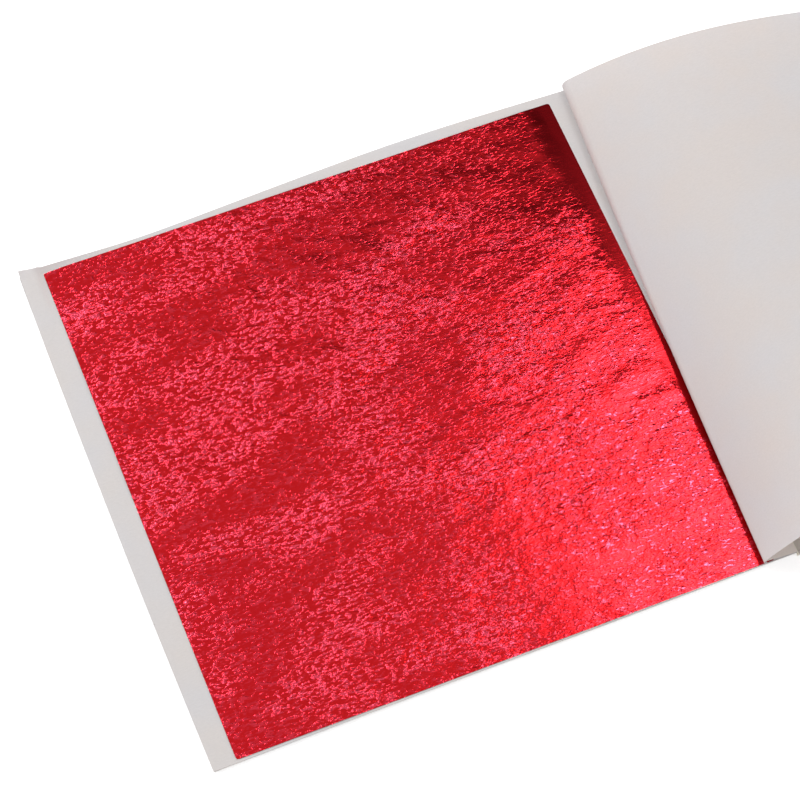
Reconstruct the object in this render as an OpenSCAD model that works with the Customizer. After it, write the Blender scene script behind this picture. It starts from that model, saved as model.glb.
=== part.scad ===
// Booklet of coloured metal leaf, lying open on a table.
// The block of tissues and leaves lies on the left, with the top leaf bare. The tissue above it has
// been turned over the spine and stands in an arch over the opened front cover on the right.
// Origin: the middle of the block's underside. +X runs across to the spine, +Y along it, +Z up.

/* [Sheets] */
// Width of a page, from fore edge to spine
page_w = 152; // [148:1:180]
// Height of a page, along the spine
page_h = 143; // [142:1:180]
// Side of one square metal leaf
leaf_side = 140; // [80:1:140]
// Margin of tissue between the leaf and the spine
gutter_margin = 6; // [3:0.5:12]
// Margin of tissue below the leaf
foot_margin = 0.65; // [0.3:0.05:1.5]
// Thickness of one tissue
tissue_t = 0.03; // [0.02:0.005:0.08]
// Thickness of one metal leaf, stouter than the real one so that it can be made
leaf_t = 0.005; // [0.004:0.001:0.02]
// Air between one sheet and the next
sheet_gap = 0.005; // [0.002:0.001:0.02]

/* [Covers and spine] */
// Thickness of the cover card
cover_t = 0.25; // [0.15:0.05:0.6]
// Thickness of the padding glue along the spine
glue_t = 0.15; // [0.1:0.05:0.4]
// Thickness of the paper strip over the glue
strip_t = 0.2; // [0.1:0.05:0.5]
// Free gap between the spine strip and the open front cover
cover_gap = 0.3; // [0.1:0.05:1]

/* [Raised tissue] */
// Distance from the spine to the fold at the foot of the page
fold_in_foot = 9.1; // [6:0.1:12]
// Distance from the spine to the fold at the head of the page
fold_in_head = 1; // [0.6:0.1:3]
// Radius of the soft fold at the foot
fold_r_foot = 1.6; // [1.2:0.1:2.5]
// Radius of the soft fold at the head
fold_r_head = 2.7; // [1.6:0.1:3.2]
// Angle at which the inner panel rises from the spine, in degrees
inner_rise = 9.5; // [8:0.5:14]
// Steepness of the arch past the fold at the foot, in degrees
rise_foot = 60; // [40:1:64]
// Steepness of the arch past the fold at the head, in degrees
rise_head = 29.5; // [20:0.5:45]
// How fast the arch falls off at the foot (higher is faster)
fall_foot = 2.5; // [2:0.1:3.5]
// How fast the arch falls off at the head
fall_head = 2.2; // [1.4:0.1:3]
// Air between the far edge of the raised tissue and the front cover
landing_gap = 0.1; // [0.05:0.05:0.5]
// Thickness of the raised tissue, stouter than the others so that it can be made
raised_t = 0.05; // [0.03:0.01:0.1]

/* [Hidden] */
sheet_count = 25;
function two_digits(i) = i < 10 ? str("0", i) : str(i);
function sheet_name(kind, i) = str(kind, "_", two_digits(i));

// Colours as seen
leaf_red = [0.72, 0.08, 0.11];
tissue_white = [0.86, 0.85, 0.84];
card_white = [0.8, 0.79, 0.77];
glue_cream = [0.9, 0.87, 0.78];

// Levels and lines that several pieces share
spine_x = page_w / 2;
half_h = page_h / 2;
leaf_x = spine_x - gutter_margin - leaf_side / 2;
leaf_y = -half_h + foot_margin + leaf_side / 2;
sheet_pitch = tissue_t + leaf_t + 2 * sheet_gap;
block_top = cover_t + sheet_count * sheet_pitch;
strip_x = spine_x + glue_t;
cover_x = strip_x + strip_t + cover_gap;

function tissue_z(i) = cover_t + (i - 1) * sheet_pitch + sheet_gap;
function leaf_z(i) = tissue_z(i) + tissue_t + sheet_gap;

module sheet(width, height, thickness) {
    translate([-width / 2, -height / 2, 0]) cube([width, height, thickness]);
}

module back_cover() {
    color(card_white) sheet(page_w, page_h, cover_t);
}

module front_cover() {
    color(card_white) translate([cover_x + page_w / 2, 0, 0]) sheet(page_w, page_h, cover_t);
}

// The glue touches the spine edges of every sheet and of the back cover
module glue_line() {
    color(glue_cream) translate([spine_x, -half_h, 0]) cube([glue_t, page_h, block_top]);
}

module spine_strip() {
    color(card_white) translate([strip_x, -half_h, 0]) cube([strip_t, page_h, block_top]);
}

module tissue(i) {
    color(tissue_white) translate([0, 0, tissue_z(i)]) sheet(page_w, page_h, tissue_t);
}

module leaf(i) {
    color(leaf_red) translate([leaf_x, leaf_y, leaf_z(i)]) sheet(leaf_side, leaf_side, leaf_t);
}

// The raised tissue is a curved sheet. A row is one line across it, from the spine over the fold to
// the far edge; v runs from 0 at the foot to 1 at the head. A row is worked out in its own upright
// plane as points [distance from the spine, height], where the distance is negative left of the spine.
row_count = 14;
bend_steps = 8;
arch_steps = 22;
arch_crowding = 1.5;
panel_tip = 0.4;
panel_gap = 0.05;
inner_z = block_top + 2 * raised_t;
landing_z = cover_t + landing_gap + raised_t;
// The fold's line leans, so the sheet past it runs askew by twice the lean
fold_lean = atan((fold_in_foot - fold_in_head) / page_h);
askew = 2 * fold_lean;

function blend(a, b, v) = a + (b - a) * v;
function fold_in(v) = blend(fold_in_foot, fold_in_head, v);
function fold_r(v) = blend(fold_r_foot, fold_r_head, v);
function rise(v) = blend(rise_foot, rise_head, v);
function fall(v) = blend(fall_foot, fall_head, v);

// The bend's circle, and the angles on it where the inner panel ends and the arch begins
function bend_x(v) = fold_r(v) - fold_in(v);
function bend_start(v) = min(270 - inner_rise, 360 - acos(min(1, -bend_x(v) / fold_r(v))));
function bend_end(v) = 90 + rise(v);
function panel_x(v) = bend_x(v) + fold_r(v) * cos(bend_start(v));
function bend_z(v) = inner_z - panel_x(v) * tan(inner_rise) - fold_r(v) * sin(bend_start(v));
function on_bend(v, a) = [bend_x(v) + fold_r(v) * cos(a), bend_z(v) + fold_r(v) * sin(a)];

// The arch rises at its set steepness, falls off, and lands flat on the cover
function arch_point(v, span, q) =
    let (start = on_bend(v, bend_end(v)))
    [start[0] + span * q,
     blend(start[1], landing_z, q) + tan(rise(v)) * span * q * pow(1 - q, fall(v))];
function arch_points(v, span) =
    [for (k = [1:arch_steps]) arch_point(v, span, pow(k / arch_steps, arch_crowding))];
function bend_points(v) =
    [for (k = [0:bend_steps]) on_bend(v, blend(bend_start(v), bend_end(v), k / bend_steps))];

function path_length(p, i = 1) = i >= len(p) ? 0 : norm(p[i] - p[i - 1]) + path_length(p, i + 1);
function free_length(v, span) = path_length(concat(bend_points(v), arch_points(v, span)));

// The arch's span is what the page's width leaves once the inner panel and the bend are taken off
function panel_length(v) = -panel_x(v) / cos(inner_rise);
function arch_span(v, low = 0.5 * page_w, high = page_w, tries = 14) =
    let (middle = (low + high) / 2)
    tries == 0 ? middle
    : free_length(v, middle) > page_w - panel_length(v) ? arch_span(v, low, middle, tries - 1)
    : arch_span(v, middle, high, tries - 1);

function row_profile(v) = concat(bend_points(v), arch_points(v, arch_span(v)));

// A point of a row in space: past the fold's line the row runs askew
function fold_x(v) = spine_x - fold_in(v);
function row_y(v) = blend(-half_h, half_h, v);
function in_space(v, p) =
    let (past = p[0] + fold_in(v))
    [fold_x(v) + past * cos(askew), row_y(v) - past * sin(askew), p[1]];

// The thickness of the curved sheet is set off square to each row's profile
function unit(p) = p / norm(p);
function offset_profile(p, d) = [for (i = [0:len(p) - 1])
    let (t = unit(p[min(i + 1, len(p) - 1)] - p[max(i - 1, 0)]))
    p[i] + d * [t[1], -t[0]]];

module curved_sheet(profiles, vs, thickness) {
    n = len(vs);
    m = len(profiles[0]);
    outer = [for (r = [0:n - 1]) for (p = profiles[r]) in_space(vs[r], p)];
    inner = [for (r = [0:n - 1]) for (p = offset_profile(profiles[r], thickness)) in_space(vs[r], p)];
    skin = [for (r = [0:n - 2]) for (c = [0:m - 2]) let (a = r * m + c) each [
        [a, a + m, a + m + 1], [a, a + m + 1, a + 1]]];
    ring = concat(
        [for (c = [0:m - 1]) c], [for (r = [1:n - 1]) r * m + m - 1],
        [for (c = [m - 2:-1:0]) (n - 1) * m + c], [for (r = [n - 2:-1:1]) r * m]);
    walls = [for (k = [0:len(ring) - 1]) let (a = ring[k], b = ring[(k + 1) % len(ring)]) each [
        [a, b, b + n * m], [a, b + n * m, a + n * m]]];
    back = [for (f = skin) [for (i = [2, 1, 0]) f[i] + n * m]];
    polyhedron(concat(outer, inner), concat(skin, walls, back), convexity = 6);
}

module raised_tissue() {
    vs = [for (r = [0:row_count]) r / row_count];
    color(tissue_white) curved_sheet([for (v = vs) row_profile(v)], vs, raised_t);
}

// The inner panel is the flat wedge of the same sheet from the spine to the start of the bend. It
// narrows towards the head, and ends where only its tip is left.
function tip_v() =
    let (bend_share = 1 - sin(inner_rise))
    (fold_in_foot - panel_tip - fold_r_foot * bend_share)
    / (fold_in_foot - fold_in_head + (fold_r_head - fold_r_foot) * bend_share);
module raised_tissue_inner() {
    foot = panel_length(0) - panel_gap;
    tip = panel_length(tip_v()) - panel_gap;
    color(tissue_white) translate([spine_x, 0, inner_z]) rotate([0, inner_rise, 0])
        linear_extrude(raised_t) polygon([
            [0, -half_h], [0, row_y(tip_v())], [-tip, row_y(tip_v())], [-foot, -half_h]]);
}

back_cover();
front_cover();
spine_strip();
glue_line();
raised_tissue();
raised_tissue_inner();
for (i = [1:sheet_count]) {
    tissue(i);
    leaf(i);
}
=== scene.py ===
# %% [markdown]
# # A booklet of red metal leaf
# The booklet lies open on a white table. Its block of tissues and metal leaves is on the left, with one
# bare leaf on top. The tissue that covered that leaf has been turned over the spine, and stands in a
# soft arch over the opened front cover. The CAD frame holds every sheet in its place. This script gives
# the sheets that are seen their real curl, crumple and finish.

# %% Load the frame
import math
import bpy
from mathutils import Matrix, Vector, noise


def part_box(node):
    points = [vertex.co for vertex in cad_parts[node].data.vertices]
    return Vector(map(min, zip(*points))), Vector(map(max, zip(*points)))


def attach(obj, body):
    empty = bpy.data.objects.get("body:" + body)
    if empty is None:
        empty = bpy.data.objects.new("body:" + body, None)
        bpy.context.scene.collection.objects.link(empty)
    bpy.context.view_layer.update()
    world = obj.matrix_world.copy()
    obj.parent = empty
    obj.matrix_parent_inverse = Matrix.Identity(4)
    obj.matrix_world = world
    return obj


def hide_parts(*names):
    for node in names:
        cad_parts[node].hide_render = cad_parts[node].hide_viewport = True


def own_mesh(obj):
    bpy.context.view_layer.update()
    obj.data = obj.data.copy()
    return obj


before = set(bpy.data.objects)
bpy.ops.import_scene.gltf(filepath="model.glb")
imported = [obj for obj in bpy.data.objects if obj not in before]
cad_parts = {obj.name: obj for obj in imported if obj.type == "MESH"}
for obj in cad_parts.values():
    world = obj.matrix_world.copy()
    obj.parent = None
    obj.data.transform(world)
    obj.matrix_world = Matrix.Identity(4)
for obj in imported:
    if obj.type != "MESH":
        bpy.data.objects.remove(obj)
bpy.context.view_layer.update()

MM = 0.001

# %% [markdown]
# ## Small helpers
# Colours are written as they are seen, in sRGB, and Blender wants them linear, so one function turns
# them. One more adds a node with its settings and its links, which is all that a material needs.

# %% Helpers
def linear(hex_colour):
    """An sRGB colour such as #c8202a as the linear colour that a socket takes."""
    parts = [int(hex_colour[i:i + 2], 16) / 255 for i in (1, 3, 5)]
    return tuple(c / 12.92 if c <= 0.04045 else ((c + 0.055) / 1.055) ** 2.4 for c in parts) + (1.0,)


def add_node(tree, kind, settings=None, sockets=None):
    """Adds a node. A socket's entry is a value, or another node's output to link to it."""
    node = tree.nodes.new(kind)
    for name, value in (settings or {}).items():
        setattr(node, name, value)
    for name, value in (sockets or {}).items():
        if isinstance(value, bpy.types.NodeSocket):
            tree.links.new(value, node.inputs[name])
        else:
            node.inputs[name].default_value = value
    return node


def start_material(name):
    """An empty material, and the Object coordinates that its patterns read."""
    material = bpy.data.materials.new(name)
    material.use_nodes = True
    material.node_tree.nodes.clear()
    coords = add_node(material.node_tree, "ShaderNodeTexCoord")
    return material, material.node_tree, coords.outputs["Object"]


def finish_material(tree, shader):
    add_node(tree, "ShaderNodeOutputMaterial", sockets={"Surface": shader.outputs[0]})


# %% [markdown]
# ## Camera
# The camera's place, tilt and lens were worked out from the four corners of the leaf, which is a square
# of 140 mm. It looks down from the foot of the page, a little from the left.

# %% Camera
CAMERA_PLACE = (-132.57 * MM, -301.95 * MM, 670.32 * MM)
CAMERA_TURN = (math.radians(26.4369), math.radians(-0.9021), math.radians(-21.9029))
CAMERA_LENS = 134.967
SENSOR_WIDTH = 36

bpy.ops.object.camera_add(location=CAMERA_PLACE, rotation=CAMERA_TURN)
camera = bpy.context.object
camera.name = "photo_camera"
camera.data.sensor_width = SENSOR_WIDTH
camera.data.lens = CAMERA_LENS
camera.data.clip_start = 0.01
camera.data.clip_end = 20
bpy.context.scene.camera = camera
print("camera lens", CAMERA_LENS, "mm")

# %% [markdown]
# ## Sizes of the sheets
# The page, the leaf and the block are read from the frame, so that what is made here stays where the
# CAD says. Lengths are kept in millimetres while a sheet is shaped.

# %% Sizes
AIR_OVER_LEAF = 0.005


def box_mm(node):
    """A node's lowest and highest corners in mm."""
    return [[c / MM for c in corner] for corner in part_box(node)]


page_low, page_high = box_mm("tissue_25")
leaf_low, leaf_high = box_mm("leaf_25")
PAGE_W = page_high[0] - page_low[0]
PAGE_H = page_high[1] - page_low[1]
SPINE_X = page_high[0]
HALF_H = PAGE_H / 2
LEAF_SIDE = leaf_high[0] - leaf_low[0]
BLOCK_TOP = leaf_high[2] + AIR_OVER_LEAF
print("page", round(PAGE_W, 2), "x", round(PAGE_H, 2), "mm, block", round(BLOCK_TOP, 3), "mm")

# %% [markdown]
# ## How a sheet is made
# Every sheet starts as a flat grid, as paper does. One function adds the grid, moves each of its points
# to where the sheet really runs, and gives it its thickness with a Solidify modifier. A grid keeps the
# sheet's own lines, across and along, so any curl can be written as a plain function of the two.

# %% Sheet maker
CREASED_PAST = math.radians(50)


def grid_sheet(name, columns, rows, place, thickness):
    """A sheet made from a grid: place(u, v) gives each vertex in mm, u across and v along, 0 to 1.
    The grid is its upper surface, and its thickness goes below."""
    bpy.ops.object.select_all(action="DESELECT")
    bpy.ops.mesh.primitive_grid_add(x_subdivisions=columns, y_subdivisions=rows, size=1)
    sheet = bpy.context.object
    sheet.name = name
    sheet.data.name = name
    for vertex in sheet.data.vertices:
        vertex.co = Vector(place(vertex.co.x + 0.5, vertex.co.y + 0.5)) * MM
    wall = sheet.modifiers.new("thickness", "SOLIDIFY")
    wall.thickness = thickness * MM
    wall.offset = -1
    wall.use_even_offset = False
    bpy.ops.object.modifier_apply(modifier=wall.name)
    bpy.ops.object.shade_smooth_by_angle(angle=CREASED_PAST)
    print(name, len(sheet.data.polygons), "faces")
    return sheet


# %% [markdown]
# ## The tissue
# Interleaving tissue is thin, unsized wood-pulp paper, pressed smooth. It has a faint cloudy look from
# uneven fibre, a short soft fibre texture, and here and there a speck. It is matt. A cloudy noise
# about two centimetres wide tints it slightly warm and cool, a fine stretched noise gives the fibres,
# and a sparse cell pattern gives the specks.

# %% Tissue
CLOUD_WIDTH, CLOUD_RANGE = 22.0, (0.35, 0.65)
FIBRE_WIDTH, FIBRE_RANGE = 0.35, (0.3, 0.7)
FIBRE_LAY = (0.35, 1.0, 1.0)
FIBRE_SHADE, FIBRE_RELIEF = 0.95, 0.6
SPECK_SPACING, SPECK_SIZE, SPECK_DARKNESS = 17.0, 0.018, 0.45
SPECK_COLOUR = "#8f7f78"
PAPER_SHINE = 0.25


def paper(name, warm, cool, fibre_depth, roughness, see_through):
    """Matt paper: two near tints in clouds, darker where the fibres lie thick, with rare specks.
    fibre_depth is in mm, and see_through is the share of the light that passes to the other side."""
    material, tree, coords = start_material(name)
    clouds = add_node(tree, "ShaderNodeTexNoise", {}, {
        "Vector": coords, "Scale": 1 / (CLOUD_WIDTH * MM), "Detail": 3.0, "Roughness": 0.55})
    spread = add_node(tree, "ShaderNodeMapRange", {}, {
        "Value": clouds.outputs["Fac"], "From Min": CLOUD_RANGE[0], "From Max": CLOUD_RANGE[1]})
    tint = add_node(tree, "ShaderNodeMix", {"data_type": "RGBA"}, {
        0: spread.outputs["Result"], 6: linear(warm), 7: linear(cool)})
    long_way = add_node(tree, "ShaderNodeMapping", {}, {"Vector": coords, "Scale": FIBRE_LAY})
    fibres = add_node(tree, "ShaderNodeTexNoise", {}, {
        "Vector": long_way.outputs["Vector"], "Scale": 1 / (FIBRE_WIDTH * MM), "Detail": 4.0,
        "Roughness": 0.6, "Distortion": 0.4})
    thick = add_node(tree, "ShaderNodeMapRange", {}, {
        "Value": fibres.outputs["Fac"], "From Min": FIBRE_RANGE[0], "From Max": FIBRE_RANGE[1],
        "To Min": FIBRE_SHADE, "To Max": 1.0})
    shaded = add_node(tree, "ShaderNodeMix", {"data_type": "RGBA", "blend_type": "MULTIPLY"}, {
        0: 1.0, 6: tint.outputs[2], 7: thick.outputs["Result"]})
    cells = add_node(tree, "ShaderNodeTexVoronoi", {}, {
        "Vector": coords, "Scale": 1 / (SPECK_SPACING * MM)})
    speck = add_node(tree, "ShaderNodeMapRange", {}, {
        "Value": cells.outputs["Distance"], "From Min": SPECK_SIZE * 0.5, "From Max": SPECK_SIZE,
        "To Min": SPECK_DARKNESS, "To Max": 0.0})
    colour = add_node(tree, "ShaderNodeMix", {"data_type": "RGBA"}, {
        0: speck.outputs["Result"], 6: shaded.outputs[2], 7: linear(SPECK_COLOUR)})
    bump = add_node(tree, "ShaderNodeBump", {}, {
        "Strength": FIBRE_RELIEF, "Distance": fibre_depth * MM, "Height": fibres.outputs["Fac"]})
    shader = add_node(tree, "ShaderNodeBsdfPrincipled", {}, {
        "Base Color": colour.outputs[2], "Roughness": roughness, "Specular IOR Level": PAPER_SHINE,
        "Normal": bump.outputs["Normal"]})
    through = add_node(tree, "ShaderNodeBsdfTranslucent", {}, {"Color": colour.outputs[2]})
    sheet = add_node(tree, "ShaderNodeMixShader", {}, {
        0: see_through, 1: shader.outputs[0], 2: through.outputs[0]})
    finish_material(tree, sheet if see_through else shader)
    return material


# Tissue passes some light to the sheet behind it
tissue_paper = paper("pressed_interleaving_tissue", "#e2dcd9", "#dfdcdd",
                     fibre_depth=0.05, roughness=0.85, see_through=0.2)
# The raised sheet stands alone, so more light comes through it, and its colour is painted whiter than
# the other tissue's as painted light
arch_tissue_painted_lighter = paper("tissue_lit_through_and_painted_lighter", "#e9e2df", "#e6e3e4",
                   fibre_depth=0.05, roughness=0.85, see_through=0.32)
# The inner panel lies in the arch's shade, so its colour is painted lighter and creamier as painted
# light, and it lets no light through
panel_tissue_painted_lighter = paper("tissue_painted_lighter_in_arch_shade", "#f4e9e0", "#f1e7e0",
                     fibre_depth=0.05, roughness=0.85, see_through=0.0)
# Calendering irons the card, so it is smoother than tissue, and it lets no light through
cover_card = paper("calendered_cover_card", "#d8cdc3", "#d2cac2",
                   fibre_depth=0.05, roughness=0.7, see_through=0.0)
# The strip over the glue is plain, slightly coarser paper
spine_paper = paper("kraft_lined_spine_paper", "#d6cfc6", "#cfc8c0",
                    fibre_depth=0.06, roughness=0.8, see_through=0.0)
print("papers made")

# %% [markdown]
# ## The metal leaf
# Coloured leaf is aluminium beaten or rolled to about a micrometre, then dyed and lacquered. It is a
# mirror that lies in countless small creases, so the eye sees bright facets beside deep ones. The
# metal takes the dye's red, and its colour is painted pinker on the crests as a painted highlight,
# while a clear coat on it gives the glints of the lacquer. Three widths of crease bend its normal, from
# folds of a few millimetres down to a grain of a third of one. Two numbers kept with the mesh say how
# strongly it is wrinkled at each point, and where its colour is darkened as painted shade.

# %% Metal leaf
# The leaf's own red, the pink of its painted highlight, and the dark red of its painted shade
LEAF_DEEP = "#c8121b"
LEAF_PAINTED_HIGHLIGHT = "#e8425a"
LEAF_SHADE = "#a30d18"
CREASE_WIDTH, CREASE_DEPTH = 3.2, 0.2
WRINKLE_WIDTH, WRINKLE_DEPTH = 0.6, 0.057
GRAIN_WIDTH, GRAIN_DEPTH = 0.36, 0.05
CRINKLE_SLANT, CRINKLE_LAY = math.radians(-6), (0.45, 1.0, 1.0)
# The share of the wrinkle pattern at which a wrinkle begins to rise, at which its painted highlight
# begins, and at which both are full
WRINKLE_RISES, HIGHLIGHT_BEGINS, WRINKLE_FULL = 0.5, 0.46, 0.66
METAL_ROUGHNESS, LACQUER, LACQUER_ROUGHNESS = 0.14, 0.15, 0.15


def lacquered_leaf(name):
    material, tree, coords = start_material(name)
    along = add_node(tree, "ShaderNodeMapping", {}, {
        "Vector": coords, "Rotation": (0, 0, CRINKLE_SLANT), "Scale": CRINKLE_LAY})
    creases = add_node(tree, "ShaderNodeTexNoise", {}, {
        "Vector": along.outputs["Vector"], "Scale": 1 / (CREASE_WIDTH * MM), "Detail": 2.0,
        "Roughness": 0.5, "Distortion": 0.3})
    wrinkles = add_node(tree, "ShaderNodeTexNoise", {}, {
        "Vector": along.outputs["Vector"], "Scale": 1 / (WRINKLE_WIDTH * MM), "Detail": 1.5,
        "Roughness": 0.5, "Distortion": 0.25})
    grain = add_node(tree, "ShaderNodeTexNoise", {}, {
        "Vector": along.outputs["Vector"], "Scale": 1 / (GRAIN_WIDTH * MM), "Detail": 1.0})
    crumpled = add_node(tree, "ShaderNodeAttribute", {"attribute_name": "crumpled"})
    # A wrinkle is a narrow step up from flat metal, lit along its sides
    raised = add_node(tree, "ShaderNodeMapRange", {"interpolation_type": "SMOOTHSTEP"}, {
        "Value": wrinkles.outputs["Fac"], "From Min": WRINKLE_RISES, "From Max": WRINKLE_FULL})
    crease_bump = add_node(tree, "ShaderNodeBump", {}, {
        "Strength": crumpled.outputs["Fac"], "Distance": CREASE_DEPTH * MM,
        "Height": creases.outputs["Fac"]})
    wrinkle_bump = add_node(tree, "ShaderNodeBump", {}, {
        "Strength": crumpled.outputs["Fac"], "Distance": WRINKLE_DEPTH * MM,
        "Height": raised.outputs["Result"], "Normal": crease_bump.outputs["Normal"]})
    grain_bump = add_node(tree, "ShaderNodeBump", {}, {
        "Strength": crumpled.outputs["Fac"], "Distance": GRAIN_DEPTH * MM,
        "Height": grain.outputs["Fac"], "Normal": wrinkle_bump.outputs["Normal"]})
    # Painted highlight: the crests of the wrinkles are coloured pinker, the more where the leaf is
    # wrinkled
    crest = add_node(tree, "ShaderNodeMapRange", {}, {
        "Value": wrinkles.outputs["Fac"], "From Min": HIGHLIGHT_BEGINS, "From Max": WRINKLE_FULL})
    painted_highlight = add_node(tree, "ShaderNodeMath", {"operation": "MULTIPLY", "use_clamp": True}, {
        0: crest.outputs["Result"], 1: crumpled.outputs["Fac"]})
    dye_and_highlight = add_node(tree, "ShaderNodeMix", {"data_type": "RGBA"}, {
        0: painted_highlight.outputs[0], 6: linear(LEAF_DEEP), 7: linear(LEAF_PAINTED_HIGHLIGHT)})
    # Painted shade: where the mesh marks it, the colour is darkened towards LEAF_SHADE
    painted_shade = add_node(tree, "ShaderNodeAttribute", {"attribute_name": "painted_shade"})
    shaded = add_node(tree, "ShaderNodeMix", {"data_type": "RGBA"}, {
        0: painted_shade.outputs["Fac"], 6: dye_and_highlight.outputs[2], 7: linear(LEAF_SHADE)})
    shader = add_node(tree, "ShaderNodeBsdfPrincipled", {}, {
        "Base Color": shaded.outputs[2], "Metallic": 1.0, "Roughness": METAL_ROUGHNESS,
        "Coat Weight": LACQUER, "Coat Roughness": LACQUER_ROUGHNESS,
        "Normal": grain_bump.outputs["Normal"], "Coat Normal": grain_bump.outputs["Normal"]})
    finish_material(tree, shader)
    return material


red_leaf = lacquered_leaf("dyed_lacquered_aluminium_leaf")
print("leaf made")

# %% [markdown]
# ## The padding glue
# The sheets are held at the spine by padding glue, a white PVA that is brushed on and dries to a
# clear, slightly yellow, rubbery skin. Long soft strokes show the brush.

# %% Glue
GLUE_DRY, GLUE_THICK = "#e8dfc6", "#f0ead8"
STROKE_WIDTH, STROKE_DEPTH, STROKE_RELIEF = 0.8, 0.05, 0.5
STROKE_LAY = (1.0, 0.2, 1.0)
GLUE_ROUGHNESS = 0.45


def dried_glue(name):
    material, tree, coords = start_material(name)
    brushed = add_node(tree, "ShaderNodeMapping", {}, {"Vector": coords, "Scale": STROKE_LAY})
    strokes = add_node(tree, "ShaderNodeTexNoise", {}, {
        "Vector": brushed.outputs["Vector"], "Scale": 1 / (STROKE_WIDTH * MM), "Detail": 3.0})
    colour = add_node(tree, "ShaderNodeMix", {"data_type": "RGBA"}, {
        0: strokes.outputs["Fac"], 6: linear(GLUE_DRY), 7: linear(GLUE_THICK)})
    bump = add_node(tree, "ShaderNodeBump", {}, {
        "Strength": STROKE_RELIEF, "Distance": STROKE_DEPTH * MM, "Height": strokes.outputs["Fac"]})
    shader = add_node(tree, "ShaderNodeBsdfPrincipled", {}, {
        "Base Color": colour.outputs[2], "Roughness": GLUE_ROUGHNESS,
        "Normal": bump.outputs["Normal"]})
    finish_material(tree, shader)
    return material


padding_glue = dried_glue("dried_padding_glue")
print("glue made")

# %% [markdown]
# ## Finishes for the CAD sheets
# The front cover, the glue and the spine strip have the right shape as they are, so they keep their
# meshes and only get their materials. Every other sheet is dressed here too, and a piece made below
# takes its place.

# %% Dress the CAD sheets
finish_of = {"back_cover": cover_card, "front_cover": cover_card, "spine_strip": spine_paper,
             "glue_line": padding_glue}
for name, cad_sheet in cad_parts.items():
    finish = finish_of.get(name, red_leaf if name.startswith("leaf") else tissue_paper)
    if not cad_sheet.material_slots:
        cad_sheet.data.materials.append(finish)
    for material_slot in cad_sheet.material_slots:
        material_slot.material = finish
print("dressed", len(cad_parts), "CAD sheets")

# %% [markdown]
# ## How the sheets are cut
# A guillotined block is never quite square. Against the leaf, whose sides are straight, the fore edge
# bows in by under a millimetre at its ends, the foot edge closes in on the leaf towards the spine, and
# the head edge runs out in the middle. One function cuts every page to that outline, and another gives
# the small extra by which a lower sheet lies further in.

# %% Cut of the sheets
FORE_OUT, FORE_BOW = 0.3, 0.6
FOOT_IN_FORE, FOOT_IN_SPINE = -0.1, 0.5
HEAD_IN_FORE, HEAD_IN_SPINE, HEAD_OUT_MIDDLE = 1.1, 0.3, 1.0
HEAD_OUT_RUN, HEAD_SHARE_IN, SPINE_CORNER_POWER = (0.3, 1.1), 0.6, 6
HEAD_DENT, HEAD_DENT_AT, HEAD_DENT_LONG = 0.6, 0.21, 0.12
LOWEST_IN = 0.35
UNEVEN, UNEVEN_STEP, UNEVEN_WAVES = 0.12, 3.1, 2.0
FORE_SEED, FOOT_SEED = 1.0, 5.0


def soft_step(value, low, high):
    """0 up to low, 1 from high on, and smooth between."""
    t = max(0.0, min(1.0, (value - low) / (high - low)))
    return t * t * (3 - 2 * t)


def cut(u, v, further_in=0.0, number=0.0):
    """The point (x, y) in mm of a page at u across and v along, 0 to 1, as the page is really cut."""
    uneven = UNEVEN if number else 0.0
    fore = page_low[0] - FORE_OUT + FORE_BOW * (2 * v - 1) ** 2 + further_in
    fore += uneven * noise.noise(Vector((number * UNEVEN_STEP, v * UNEVEN_WAVES, FORE_SEED)))
    foot = -HALF_H + FOOT_IN_FORE + (FOOT_IN_SPINE - FOOT_IN_FORE) * u + further_in
    foot += uneven * noise.noise(Vector((number * UNEVEN_STEP, u * UNEVEN_WAVES, FOOT_SEED)))
    head = HALF_H - HEAD_IN_FORE * (1 - u) ** 2 - HEAD_IN_SPINE * u ** SPINE_CORNER_POWER
    head -= further_in * HEAD_SHARE_IN
    head += HEAD_OUT_MIDDLE * math.sin(math.pi * soft_step(u, *HEAD_OUT_RUN))
    head -= HEAD_DENT * math.exp(-((u - HEAD_DENT_AT) / HEAD_DENT_LONG) ** 2)
    return fore + (SPINE_X - fore) * u, foot + (head - foot) * v


print("page's foot corner", [round(c, 2) for c in cut(0, 0)], "head corner",
      [round(c, 2) for c in cut(0, 1)], "mm")

# %% [markdown]
# ## The block
# Under the open page lie two dozen more tissues, each with its leaf, and the back cover. Their edges
# make the thin, faintly layered rim below the leaf. Each sheet keeps its level from the CAD model and
# rides on its own page, so that the block can be fanned.

# %% Block
SHEET_COUNT = 25
BLOCK_CELLS, BURIED_LEAF_CELLS = 30, 12
BURIED_LEAF_UP, BURIED_LEAF_WANDERS = 0.1, 0.08
WANDER_STEP, WANDER_SEED = 2.3, 3.0
BURIED_CRUMPLE = 0.6


def mark(sheet, mark_name, values):
    """Keeps a number for each point of a sheet, which its material reads by that name."""
    attribute = sheet.data.attributes.new(mark_name, "FLOAT", "POINT")
    attribute.data.foreach_set("value", values)


def lie_deep(number):
    """How much further in the sheet of that number is cut than the top one."""
    return LOWEST_IN * (SHEET_COUNT - number) / SHEET_COUNT


def block_sheet(name, node, number, body, finish):
    low, high = box_mm(node)

    def place(u, v):
        return (*cut(u, v, lie_deep(number), number + 1), high[2])

    sheet = grid_sheet(name, BLOCK_CELLS, BLOCK_CELLS, place, high[2] - low[2])
    sheet.data.materials.append(finish)
    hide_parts(node)
    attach(sheet, body)


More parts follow.
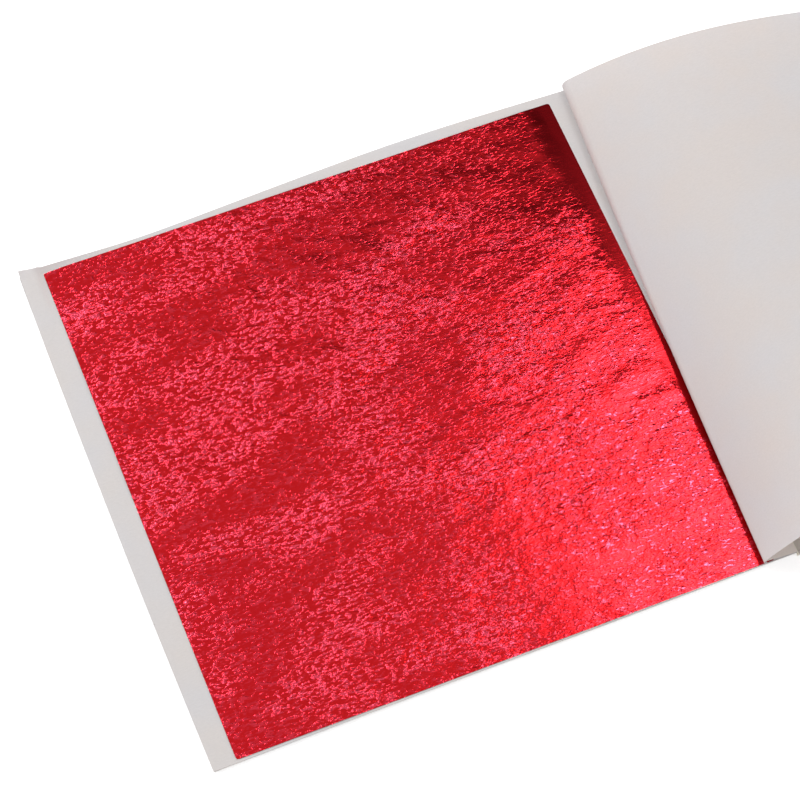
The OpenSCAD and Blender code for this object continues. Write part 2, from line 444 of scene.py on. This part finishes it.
def block_leaf(name, node, number, body):
    low, high = box_mm(node)

    def place(u, v):
        wander = BURIED_LEAF_WANDERS * noise.noise(Vector((number * WANDER_STEP, u + v, WANDER_SEED)))
        x = low[0] + LEAF_SIDE * u + wander
        y = low[1] + LEAF_SIDE * v + lie_deep(number) + BURIED_LEAF_UP
        return x, y, high[2]

    leaf = grid_sheet(name, BURIED_LEAF_CELLS, BURIED_LEAF_CELLS, place, high[2] - low[2])
    leaf.data.materials.append(red_leaf)
    mark(leaf, "crumpled", [BURIED_CRUMPLE] * len(leaf.data.vertices))
    mark(leaf, "painted_shade", [0.0] * len(leaf.data.vertices))
    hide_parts(node)
    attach(leaf, body)


block_sheet("back_card", "back_cover", 0, "booklet_base", cover_card)
for number in range(1, SHEET_COUNT):
    body = f"page_{number:02d}"
    block_sheet(f"block_tissue_{number:02d}", f"tissue_{number:02d}", number, body, tissue_paper)
    block_leaf(f"block_leaf_{number:02d}", f"leaf_{number:02d}", number, body)

# %% [markdown]
# ## The page under the leaf
# The top tissue lies flat where the leaf covers it, because the two cling together. Its free margin
# curls up a little, most at the corner of the head and the fore edge, where the very tip curls more.
# A grid with a cell for each millimetre can take such small shapes.

# %% Page under the leaf
CORNER_CURL, CURL_POWER = 2.4, 1.5
CURL_ALONG_HEAD, CURL_ALONG_FORE = 42.0, 25.0
TIP_CURL, TIP_REACH = 1.2, 5.0
CURL_FREE_FROM_LEAF = 1.8
HEAD_LIFT, HEAD_WAVE, HEAD_WAVE_START = 0.35, 21, 0.6
HEAD_LIFT_RUN, SPINE_HOLDS = (0.2, 2.4), (2, 12)
FORE_LIFT, FORE_WAVE, FORE_WAVE_START = 0.2, 13, 2
FORE_LIFT_RUN = (0.5, 6)
PAGE_COLUMNS, PAGE_ROWS = 152, 143
PAGE_T = 0.03
PAGE_TOP = page_high[2]


def wave(along, length, start):
    """A gentle wave between 0 and 1 along an edge."""
    return 0.5 + 0.5 * math.sin(along / length + start)


def page_place(u, v):
    x, y = cut(u, v)
    # How far the point lies outside the leaf, which holds the page down
    out_left = max(0.0, leaf_low[0] - x)
    out_head = max(0.0, y - leaf_high[1])
    corner = math.hypot((x - page_low[0]) / CURL_ALONG_HEAD, (y - HALF_H) / CURL_ALONG_FORE)
    lift = CORNER_CURL * max(0.0, 1 - corner) ** CURL_POWER
    tip = math.hypot(x - page_low[0], y - HALF_H) / TIP_REACH
    lift += TIP_CURL * max(0.0, 1 - tip) ** 2
    lift *= min(1.0, (out_left + out_head) / CURL_FREE_FROM_LEAF)
    head_lift = HEAD_LIFT * wave(x, HEAD_WAVE, HEAD_WAVE_START) * soft_step(out_head, *HEAD_LIFT_RUN)
    lift += head_lift * soft_step(SPINE_X - x, *SPINE_HOLDS)
    lift += FORE_LIFT * soft_step(out_left, *FORE_LIFT_RUN) * wave(y, FORE_WAVE, FORE_WAVE_START)
    return x, y, PAGE_TOP + lift


top_page = grid_sheet("top_page", PAGE_COLUMNS, PAGE_ROWS, page_place, PAGE_T)
top_page.data.materials.append(tissue_paper)
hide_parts("tissue_25")
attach(top_page, "page_25")
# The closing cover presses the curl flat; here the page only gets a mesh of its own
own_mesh(top_page)

# %% [markdown]
# ## The bare metal leaf
# The leaf is far thinner than its tissue and holds every crease. Wide, low swells and a few sharper
# folds cross it. Towards the spine it is stretched smooth over the page's bend and slopes away, and
# there its colour is darkened as painted shade. The swells and folds are moved in the mesh, and the
# finest wrinkles are left to the material.

# %% Bare leaf
LEAF_T = 0.005
LEAF_REST = leaf_low[2] + LEAF_T
LEAF_CELLS = 205
FORE_EDGE_IN, CORNER_OFF = 0.3, 0.18
BAND_WIDTH, BAND_NARROWEST, BAND_NARROWS = 7.5, 0.35, (-60, 30)
BAND_FULL, BAND_RAGGED = 0.35, 1.2
RAGGED_ACROSS, RAGGED_ALONG, RAGGED_SEED = 3, 4, 7.7
BAND_HEIGHT = 0.02
LEAF_LIFT, CRUMPLE_MOST = 0.12, 0.36
BROAD_SWELL, NARROW_SWELL, FINE_CREASE, GATHERED_CREASE = 0.12, 0.07, 0.02, 0.08
CREASE_SHARPNESS = 2.4
# Patches of the leaf, each as x, y, half length and half width in mm
GATHERED = (-2, 50, 30, 9)
# The top corner by the spine, darkened as painted shade and smoothed, and the most of that
SHADED_CORNER, SHADED_CORNER_MOST = (64, 52, 16, 22), 0.45


def swell(x, y, width, stretch, slant, seed):
    """Swells of that width in mm, longer along the slant: about -1 to 1."""
    along = x * math.cos(slant) + y * math.sin(slant)
    across = -x * math.sin(slant) + y * math.cos(slant)
    return noise.noise(Vector((along / (width * stretch), across / width, seed)))


def ridge(x, y, width, stretch, slant, seed):
    """Creases of that width in mm: 0 in the hollows to 1 on a crest."""
    return 1 - min(1.0, abs(swell(x, y, width, stretch, slant, seed)) * CREASE_SHARPNESS)


def patch(x, y, middle_x, middle_y, half_long, half_wide):
    """1 in the middle of a soft patch of the leaf, and dying away outside it."""
    return math.exp(-((x - middle_x) / half_long) ** 2 - ((y - middle_y) / half_wide) ** 2)


def band_share(x, y):
    """1 on the smooth band along the spine edge, which narrows towards the foot."""
    narrowing = BAND_NARROWEST + (1 - BAND_NARROWEST) * soft_step(y, *BAND_NARROWS)
    width = BAND_WIDTH * narrowing
    ragged = BAND_RAGGED * noise.noise(Vector((x / RAGGED_ACROSS, y / RAGGED_ALONG, RAGGED_SEED)))
    return soft_step(x + ragged, leaf_high[0] - width, leaf_high[0] - width * BAND_FULL)


def corner_shade_and_smoothing(x, y):
    """Round the top corner of the spine edge the leaf is painted darker, less than the band, and
    smoother.
    """
    return SHADED_CORNER_MOST * patch(x, y, *SHADED_CORNER)


def crumple(x, y):
    """How high the leaf stands off its tissue, in mm."""
    broad = BROAD_SWELL * swell(x, y, width=17, stretch=2.2, slant=0.05, seed=1.3)
    narrow = NARROW_SWELL * swell(x, y, width=6.5, stretch=1.8, slant=0.15, seed=4.1)
    creases = FINE_CREASE * ridge(x, y, width=5, stretch=2.0, slant=0.1, seed=9.2)
    creases += FINE_CREASE * ridge(x, y, width=2.4, stretch=1.7, slant=-0.1, seed=3.7)
    # Deeper creases gather near the middle of the head edge
    deeper = ridge(x, y, width=3.4, stretch=2.6, slant=-0.25, seed=6.4)
    creases += GATHERED_CREASE * patch(x, y, *GATHERED) * deeper
    height = LEAF_LIFT + broad + narrow + creases
    return max(0.0, min(CRUMPLE_MOST, height))


def leaf_place(u, v):
    x = leaf_low[0] + LEAF_SIDE * u + FORE_EDGE_IN * (1 - u)
    y = leaf_low[1] + LEAF_SIDE * v
    # The corners are rounded off a little
    to_corner = LEAF_SIDE * math.hypot(min(u, 1 - u), min(v, 1 - v))
    pulled = CORNER_OFF * max(0.0, 1 - to_corner / (4 * CORNER_OFF))
    x += math.copysign(pulled, 0.5 - u)
    y += math.copysign(pulled, 0.5 - v)
    band = band_share(x, y)
    height = crumple(x, y) * (1 - band) + BAND_HEIGHT * band
    return x, y, LEAF_REST + height


top_leaf = grid_sheet("top_leaf", LEAF_CELLS, LEAF_CELLS, leaf_place, LEAF_T)
top_leaf.data.materials.append(red_leaf)
print("bare leaf", round(leaf_low[0], 2), "to", round(leaf_high[0], 2), "mm")

# %% [markdown]
# ## Where the leaf is wrinkled
# Handling gathers the small wrinkles into swaths that run across the page, with smoother metal
# between them. A slow swell gives most of that, and a short list of patches adds the swaths that
# catch the eye. Near the spine the leaf is smooth, and there and round the top corner its colour is
# darkened as painted shade. What the material reads is kept with the mesh.

# %% Wrinkles of the bare leaf
USUAL_WRINKLES, SWATH_WRINKLES = 0.7, 1.2
LEAST_WRINKLED, MOST_WRINKLED = 0.42, 1.3
SHADED_CORNER_SMOOTHS, BAND_SMOOTHS = 0.6, 0.9
# How much the band by the spine is darkened as painted shade, and the most painted shade anywhere
BAND_PAINTED_SHADE, MOST_PAINTED_SHADE = 0.6, 0.65
# Where the wrinkles crowd together (above 0) or the leaf lies smoother (below 0):
# x, y, half length and half width in mm, and how much
CROWDED = [
    (-20, 65, 14, 4, 0.35), (-50, 52, 20, 6, 0.5), (-18, 34, 22, 6, 0.55), (-6, 22, 24, 7, 0.55),
    (-52, 8, 18, 8, 0.45), (-66, -3, 9, 7, 0.7), (-32, -60, 22, 9, 0.5), (10, -18, 24, 6, 0.4),
    (-60, 66, 14, 5, -0.35), (8, 42, 18, 6, -0.2), (-22, -8, 34, 4, -0.22), (-53, -36, 15, 14, 0.3),
    (-6, -50, 16, 7, -0.15), (60, 56, 24, 20, -0.9),
    (48, -40, 30, 24, 0.45)]


def crowding(x, y):
    """How strongly the leaf is wrinkled here: 1 is fully."""
    swath = swell(x, y, width=9, stretch=2.6, slant=0.12, seed=8.8)
    share = USUAL_WRINKLES + SWATH_WRINKLES * swath
    for *place, much in CROWDED:
        share += much * patch(x, y, *place)
    return max(LEAST_WRINKLED - SHADED_CORNER_SMOOTHS * corner_shade_and_smoothing(x, y), min(MOST_WRINKLED, share))


places = [(vertex.co.x / MM, vertex.co.y / MM) for vertex in top_leaf.data.vertices]
bands = [band_share(x, y) for x, y in places]
crumpled = [crowding(x, y) * (1 - BAND_SMOOTHS * band) for (x, y), band in zip(places, bands)]
# Painted shade: the band by the spine and the top corner are coloured darker
painted_shade_share = [min(MOST_PAINTED_SHADE, BAND_PAINTED_SHADE * band + corner_shade_and_smoothing(x, y)) for (x, y), band in zip(places, bands)]
mark(top_leaf, "crumpled", crumpled)
mark(top_leaf, "painted_shade", painted_shade_share)
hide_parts("leaf_25")
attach(top_leaf, "leaf_25")
print("wrinkled", round(min(crumpled), 2), "to", round(max(crumpled), 2))

# %% [markdown]
# ## The raised tissue
# This sheet was turned over the spine by hand and not creased, so it bends in a soft roll whose line
# leans across the gutter, and springs up in an arch that is steep at the foot and low at the head. Its
# rows are the same kind of curve as in the CAD model: an arc round the roll, then an arch that lands
# flat on the cover, with the arch's span set so that every row keeps the page's width. Here the roll's
# line bows a little further in, and the roll is slightly tighter at the foot and the arch less steep,
# so that the sheet stays clear of the top page when that page turns.

# %% Raised tissue: its rows
FOLD_IN_FOOT, FOLD_IN_HEAD = 9.1, 1.0
FOLD_FURTHER_FOOT, FOLD_FURTHER_HEAD, FOLD_BOW = 0.45, 0.35, 0.75
FOLD_R_FOOT, FOLD_R_HEAD = 1.2, 2.7
INNER_RISE = math.radians(9.5)
RISE_FOOT, RISE_HEAD = 58.8, 29.5
FALL_FOOT, FALL_HEAD = 2.5, 2.2
RAISED_T = 0.05
INNER_Z = BLOCK_TOP + 2 * RAISED_T
COVER_T, LANDING_GAP = 0.25, 0.1
LANDING_Z = COVER_T + LANDING_GAP + RAISED_T
ASKEW = 2 * math.atan((FOLD_IN_FOOT - FOLD_IN_HEAD) / PAGE_H)
BEND_STEPS = 18
ARCH_STEPS = 110
ARCH_CROWDING = 1.5
HALVINGS = 16


def between(foot, head, v):
    return foot + (head - foot) * v


def fold_in(v):
    """How far the roll lies from the spine. Its line bows, and lies up to 1.2 mm further in than the
    straight line of the CAD model."""
    straight = between(FOLD_IN_FOOT + FOLD_FURTHER_FOOT, FOLD_IN_HEAD + FOLD_FURTHER_HEAD, v)
    return straight + FOLD_BOW * math.sin(math.pi * v)


def row_profile(v):
    """One row as points (distance from the spine, height), from the roll's start to the far edge."""
    radius = between(FOLD_R_FOOT, FOLD_R_HEAD, v)
    middle_x = radius - fold_in(v)
    rise = math.radians(between(RISE_FOOT, RISE_HEAD, v))
    fall = between(FALL_FOOT, FALL_HEAD, v)
    start = min(1.5 * math.pi - INNER_RISE, 2 * math.pi - math.acos(min(1, -middle_x / radius)))
    panel_x = middle_x + radius * math.cos(start)
    middle_z = INNER_Z - panel_x * math.tan(INNER_RISE) - radius * math.sin(start)
    end = math.pi / 2 + rise
    bend = []
    for k in range(BEND_STEPS + 1):
        angle = between(start, end, k / BEND_STEPS)
        bend.append((middle_x + radius * math.cos(angle), middle_z + radius * math.sin(angle)))
    low, high = 0.5 * PAGE_W, PAGE_W
    for _ in range(HALVINGS):
        span = (low + high) / 2
        row = list(bend)
        for k in range(1, ARCH_STEPS + 1):
            q = (k / ARCH_STEPS) ** ARCH_CROWDING
            hump = math.tan(rise) * span * q * (1 - q) ** fall
            row.append((bend[-1][0] + span * q, between(bend[-1][1], LANDING_Z, q) + hump))
        length = sum(math.dist(a, b) for a, b in zip(row, row[1:]))
        if length > PAGE_W + panel_x / math.cos(INNER_RISE):
            high = span
        else:
            low = span
    return row


RAISED_ROWS = 72
rows_at = [row_profile(r / RAISED_ROWS) for r in range(RAISED_ROWS + 1)]
print("arch spans", round(rows_at[0][-1][0], 1), "and", round(rows_at[-1][-1][0], 1), "mm")

# %% [markdown]
# ## The raised tissue's surface
# The rows are set side by side, each in its own upright plane, and askew to the page past the roll,
# because the roll's line leans. Thin paper that stands free also cockles, so a faint slow noise lifts
# and lowers it between the roll and the edge that lies down.

# %% Raised tissue: the sheet
COLUMNS = BEND_STEPS + ARCH_STEPS
COCKLE, COCKLE_ACROSS, COCKLE_ALONG, COCKLE_SEED = 0.35, 34, 26, 2.2
FREE_OF_ROLL, FREE_OF_EDGE = (8, 40), (8, 60)


def raised_place(u, v):
    row = rows_at[round(v * RAISED_ROWS)]
    distance, height = row[round(u * COLUMNS)]
    past = distance + fold_in(v)
    fold_x = SPINE_X - fold_in(v)
    x = fold_x + past * math.cos(ASKEW)
    y = -HALF_H + PAGE_H * v - past * math.sin(ASKEW)
    # Cockles start past the roll and die away before the sheet lands
    free = soft_step(past, *FREE_OF_ROLL) * soft_step(PAGE_W - past, *FREE_OF_EDGE)
    cockle = noise.noise(Vector((x / COCKLE_ACROSS, y / COCKLE_ALONG, COCKLE_SEED)))
    return x, y, height + COCKLE * cockle * free


raised_sheet = grid_sheet("raised_sheet", COLUMNS, RAISED_ROWS, raised_place, RAISED_T)
# Its tissue is painted whiter, as painted light
raised_sheet.data.materials.append(arch_tissue_painted_lighter)
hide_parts("raised_tissue")
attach(raised_sheet, "raised_tissue")
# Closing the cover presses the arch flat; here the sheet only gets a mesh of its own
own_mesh(raised_sheet)

# %% [markdown]
# ## The raised tissue's inner panel
# Between the spine and the roll the same sheet is a narrow wedge, glued in at the spine. It rises to
# the roll in a slightly hollow line, and its tip ends where the roll meets the spine near the head.

# %% Inner panel
PANEL_TIP, PANEL_SHARE_MOST, PANEL_STEP = 0.4, 0.95, 0.01
PANEL_COLUMNS, PANEL_ROWS = 12, 60
PANEL_FOOT_IN = 0.55
PANEL_FOOT_Y = -HALF_H + PANEL_FOOT_IN
HOLLOW, HOLLOW_FULL_AT = 0.12, 4


def panel_end(v):
    """Where the roll begins in the row at v: its distance from the spine and its height."""
    return row_profile(v)[0]


panel_tip_v = 0.0
while -panel_end(panel_tip_v)[0] > PANEL_TIP and panel_tip_v < PANEL_SHARE_MOST:
    panel_tip_v += PANEL_STEP
panel_ends = [panel_end(panel_tip_v * r / PANEL_ROWS) for r in range(PANEL_ROWS + 1)]
print("inner panel", round(-panel_ends[0][0], 2), "mm wide at the foot, ends at", round(panel_tip_v, 2))


def panel_place(u, v):
    distance, height = panel_ends[round(v * PANEL_ROWS)]
    y = PANEL_FOOT_Y + (-HALF_H + PAGE_H * panel_tip_v - PANEL_FOOT_Y) * v
    hollow = HOLLOW * math.sin(math.pi * u) * min(1.0, -distance / HOLLOW_FULL_AT)
    return SPINE_X + distance * (1 - u), y, INNER_Z + (height - INNER_Z) * (1 - u) - hollow


inner_panel = grid_sheet("inner_panel", PANEL_COLUMNS, PANEL_ROWS, panel_place, RAISED_T)
# Painted light: the inner panel's tissue is coloured lighter against the arch's shade
inner_panel.data.materials.append(panel_tissue_painted_lighter)
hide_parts("raised_tissue_inner")
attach(inner_panel, "raised_tissue_inner")
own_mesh(inner_panel)

# %% [markdown]
# ## Table
# The booklet lies on a plain white ground that is almost free of shadow. The table is a white sheet
# that the camera and reflections see at full white, by a faint glow that no other light ray sees, so
# that it still takes the soft shadow of the sheets.

# %% Table
TABLE_SIZE, TABLE_DOWN = 6.0, 0.05
TABLE_WHITE = "#f2f2f2"
TABLE_GLOW, TABLE_ROUGHNESS, TABLE_SHINE = 0.45, 0.95, 0.1

bpy.ops.object.select_all(action="DESELECT")
bpy.ops.mesh.primitive_plane_add(size=TABLE_SIZE, location=(0, 0, -TABLE_DOWN * MM))
table = bpy.context.object
table.name = "white_table"
table_white, tree, _ = start_material("white_paper_sweep")
ray = add_node(tree, "ShaderNodeLightPath")
seen = add_node(tree, "ShaderNodeMath", {"operation": "MAXIMUM"}, {
    0: ray.outputs["Is Camera Ray"], 1: ray.outputs["Is Glossy Ray"]})
seen_at_all = add_node(tree, "ShaderNodeMath", {"operation": "MAXIMUM"}, {
    0: seen.outputs[0], 1: ray.outputs["Is Transmission Ray"]})
glow = add_node(tree, "ShaderNodeMath", {"operation": "MULTIPLY"}, {
    0: seen_at_all.outputs[0], 1: TABLE_GLOW})
table_shader = add_node(tree, "ShaderNodeBsdfPrincipled", {}, {
    "Base Color": linear(TABLE_WHITE), "Roughness": TABLE_ROUGHNESS,
    "Specular IOR Level": TABLE_SHINE,
    "Emission Color": (1, 1, 1, 1), "Emission Strength": glow.outputs[0]})
finish_material(tree, table_shader)
table.data.materials.append(table_white)

print("table", TABLE_SIZE, "m across")

# %% [markdown]
# ## The room that the leaf mirrors
# A metal leaf shows mostly what it mirrors, so the room is made with care. It is white at the height of
# the eye and greyer overhead. It is dimmer round the camera, whose own body stands there, and nearly
# dark in one spot past the head and the spine, which the corner of the leaf by the spine mirrors.

# %% Room
ROOM_EYE, ROOM_OVERHEAD, ROOM_FADES = 1.05, 0.8, (0.25, 0.75)
# Each darker part: the way towards it, where it begins and is full as the cosine of the angle from
# that way, and how bright it is at its middle
DIM_SPOT = ((0.42, 0.56, 0.714), 0.95, 0.975, 0.15)
CAMERA_BODY = ((-0.181, -0.412, 0.893), 0.9, 0.97, 0.55)

world = bpy.data.worlds.new("studio_room")
bpy.context.scene.world = world
world.use_nodes = True
tree = world.node_tree
tree.nodes.clear()
direction = add_node(tree, "ShaderNodeTexCoord")
height = add_node(tree, "ShaderNodeSeparateXYZ", {}, {"Vector": direction.outputs["Generated"]})
falloff = add_node(tree, "ShaderNodeMapRange", {}, {
    "Value": height.outputs["Z"], "From Min": ROOM_FADES[0], "From Max": ROOM_FADES[1],
    "To Min": ROOM_EYE, "To Max": ROOM_OVERHEAD})


def darker_part(way, begins, full, level):
    """A factor that is 1 away from that part of the room and falls to level in its middle."""
    toward = add_node(tree, "ShaderNodeVectorMath", {"operation": "DOT_PRODUCT"}, {
        0: direction.outputs["Generated"], 1: way})
    factor = add_node(tree, "ShaderNodeMapRange", {"interpolation_type": "SMOOTHSTEP"}, {
        "Value": toward.outputs["Value"], "From Min": begins, "From Max": full, "To Min": 1.0,
        "To Max": level})
    return factor.outputs["Result"]


dimmed = add_node(tree, "ShaderNodeMath", {"operation": "MULTIPLY"}, {
    0: darker_part(*DIM_SPOT), 1: darker_part(*CAMERA_BODY)})
room_level = add_node(tree, "ShaderNodeMath", {"operation": "MULTIPLY"}, {
    0: falloff.outputs["Result"], 1: dimmed.outputs[0]})
ray = add_node(tree, "ShaderNodeLightPath")
level = add_node(tree, "ShaderNodeMath", {"operation": "MAXIMUM"}, {
    0: room_level.outputs[0], 1: ray.outputs["Is Camera Ray"]})
room = add_node(tree, "ShaderNodeBackground", {}, {
    "Color": (1, 1, 1, 1), "Strength": level.outputs[0]})
add_node(tree, "ShaderNodeOutputWorld", {}, {"Surface": room.outputs["Background"]})
print("room", ROOM_EYE, "at the eye and", ROOM_OVERHEAD, "overhead")

# %% [markdown]
# ## Lamps
# Three round soft lamps light the wrinkles. The widest hangs beyond the spine, where the lower right
# of the leaf mirrors it, and makes that part the brightest. Two smaller ones hang over the fore edge
# and far past the head, and pick out the crests of the swaths on the left and at the top.

# %% Lamps
# Each lamp: name, size in metres, watts and place in metres
LAMPS = [("spine_side_lamp", 0.22, 1.15, (0.360, 0.262, 0.905)),
         ("fore_side_lamp", 0.16, 1.8, (-0.25, 0.30, 0.92)),
         ("head_side_lamp", 0.15, 1.3, (-0.08, 0.77, 0.63))]
LAMP_AIM = (0.05, -0.02, 0.0)

for name, size, watts, place in LAMPS:
    bpy.ops.object.light_add(type="AREA", location=place)
    lamp = bpy.context.object
    lamp.name = name
    lamp.data.shape = "DISK"
    lamp.data.size = size
    lamp.data.energy = watts
    lamp.rotation_euler = (Vector(LAMP_AIM) - Vector(place)).to_track_quat("-Z", "Y").to_euler()

bpy.context.scene.view_settings.view_transform = "Standard"
print(len(LAMPS), "lamps set")
